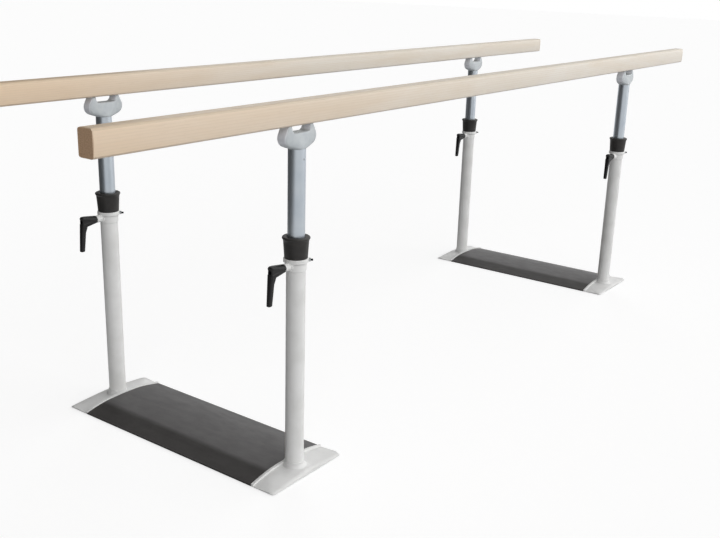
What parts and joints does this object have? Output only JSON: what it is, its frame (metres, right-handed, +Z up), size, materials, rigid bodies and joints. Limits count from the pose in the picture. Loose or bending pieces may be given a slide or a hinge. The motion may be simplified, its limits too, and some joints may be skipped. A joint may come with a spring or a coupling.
{
  "type": "walking parallel bars",
  "caption": "Walking parallel bars: wooden handrails on telescopic posts with clamping levers, standing on arched rubber-topped bases.",
  "frame": {"origin": "on the floor at the centre of the four posts", "axes": "+X along the handrails, from the front base to the rear base; +Y across the walkway, to the left rail; +Z up"},
  "size_m": [3, 0.734, 0.89],
  "materials": {
    "beech_wood": "clear satin lacquer",
    "cast_aluminium": "satin cast aluminium",
    "chromed_tube": "satin chrome plate",
    "white_powder_coat": "smooth satin powder coat",
    "white_cast_shoe": "powder-coated aluminium casting",
    "black_moulding": "fine-grained black moulding",
    "black_lever": "glass-filled nylon, fine texture",
    "grey_rubber": "matt studded rubber",
    "foot_rubber": "matt rubber",
    "natural_nylon": "natural nylon",
    "zinc_plate": "bright zinc plate",
    "black_oxide": "black oxide",
    "brass": "turned brass",
    "galvanised_sheet": "galvanised sheet",
    "spring_steel": "spring wire"
  },
  "bodies": {
    "stand": {"front_left_outer_tube": "white_powder_coat", "front_right_outer_tube": "white_powder_coat", "rear_left_outer_tube": "white_powder_coat", "rear_right_outer_tube": "white_powder_coat", "front_left_guide_bush": "black_moulding", "front_right_guide_bush": "black_moulding", "rear_left_guide_bush": "black_moulding", "rear_right_guide_bush": "black_moulding", "front_left_clamp_ring": "white_powder_coat", "front_right_clamp_ring": "white_powder_coat", "rear_left_clamp_ring": "white_powder_coat", "rear_right_clamp_ring": "white_powder_coat", "ring_set_screws": "black_oxide", "ring_lock_nuts": "zinc_plate", "pressure_pads": "brass", "front_left_shoe": "white_cast_shoe", "front_right_shoe": "white_cast_shoe", "rear_left_shoe": "white_cast_shoe", "rear_right_shoe": "white_cast_shoe", "front_tread_plate": "galvanised_sheet", "rear_tread_plate": "galvanised_sheet", "front_tread_mat": "grey_rubber", "rear_tread_mat": "grey_rubber", "tread_screws": "zinc_plate", "post_plugs": "zinc_plate", "post_bolts": "zinc_plate", "rubber_feet": "foot_rubber"},
    "left_handrail": {"left_rail": "beech_wood", "front_left_fork": "cast_aluminium", "rear_left_fork": "cast_aluminium", "front_left_inner_tube": "chromed_tube", "rear_left_inner_tube": "chromed_tube", "left_glide_plugs": "natural_nylon", "left_fork_pins": "zinc_plate", "left_rail_screws": "zinc_plate"},
    "right_handrail": {"right_rail": "beech_wood", "front_right_fork": "cast_aluminium", "rear_right_fork": "cast_aluminium", "front_right_inner_tube": "chromed_tube", "rear_right_inner_tube": "chromed_tube", "right_glide_plugs": "natural_nylon", "right_fork_pins": "zinc_plate", "right_rail_screws": "zinc_plate"},
    "front_left_clamp": {"front_left_stud": "zinc_plate", "front_left_lever_screw": "black_oxide", "front_left_lever_spring": "spring_steel"},
    "front_left_handle": {"front_left_lever": "black_lever"},
    "front_right_clamp": {"front_right_stud": "zinc_plate", "front_right_lever_screw": "black_oxide", "front_right_lever_spring": "spring_steel"},
    "front_right_handle": {"front_right_lever": "black_lever"},
    "rear_left_clamp": {"rear_left_stud": "zinc_plate", "rear_left_lever_screw": "black_oxide", "rear_left_lever_spring": "spring_steel"},
    "rear_left_handle": {"rear_left_lever": "black_lever"},
    "rear_right_clamp": {"rear_right_stud": "zinc_plate", "rear_right_lever_screw": "black_oxide", "rear_right_lever_spring": "spring_steel"},
    "rear_right_handle": {"rear_right_lever": "black_lever"}
  },
  "joints": [
    {"name": "left_handrail_height", "type": "slide", "parent": "stand", "child": "left_handrail", "axis": [0, 0, 1], "range_m": [-0.185, 0.21]},
    {"name": "right_handrail_height", "type": "slide", "parent": "stand", "child": "right_handrail", "axis": [0, 0, 1], "range_m": [-0.185, 0.21]},
    {"name": "front_left_clamp_turn", "type": "hinge", "parent": "stand", "child": "front_left_clamp", "pos_m": [-0.941, 0.322, 0.52], "axis": [-1, 0, 0], "range_deg": [0, 180]},
    {"name": "front_left_handle_pull", "type": "slide", "parent": "front_left_clamp", "child": "front_left_handle", "axis": [-1, 0, 0], "range_m": [0, 0.004], "stiffness_N_per_m": 500, "springref_m": -0.008, "deforming": ["front_left_lever_spring"]},
    {"name": "front_right_clamp_turn", "type": "hinge", "parent": "stand", "child": "front_right_clamp", "pos_m": [-0.941, -0.322, 0.52], "axis": [-1, 0, 0], "range_deg": [0, 180]},
    {"name": "front_right_handle_pull", "type": "slide", "parent": "front_right_clamp", "child": "front_right_handle", "axis": [-1, 0, 0], "range_m": [0, 0.004], "stiffness_N_per_m": 500, "springref_m": -0.008, "deforming": ["front_right_lever_spring"]},
    {"name": "rear_left_clamp_turn", "type": "hinge", "parent": "stand", "child": "rear_left_clamp", "pos_m": [0.941, 0.322, 0.52], "axis": [-1, 0, 0], "range_deg": [0, 180]},
    {"name": "rear_left_handle_pull", "type": "slide", "parent": "rear_left_clamp", "child": "rear_left_handle", "axis": [-1, 0, 0], "range_m": [0, 0.004], "stiffness_N_per_m": 500, "springref_m": -0.008, "deforming": ["rear_left_lever_spring"]},
    {"name": "rear_right_clamp_turn", "type": "hinge", "parent": "stand", "child": "rear_right_clamp", "pos_m": [0.941, -0.322, 0.52], "axis": [-1, 0, 0], "range_deg": [0, 180]},
    {"name": "rear_right_handle_pull", "type": "slide", "parent": "rear_right_clamp", "child": "rear_right_handle", "axis": [-1, 0, 0], "range_m": [0, 0.004], "stiffness_N_per_m": 500, "springref_m": -0.008, "deforming": ["rear_right_lever_spring"]}
  ]
}
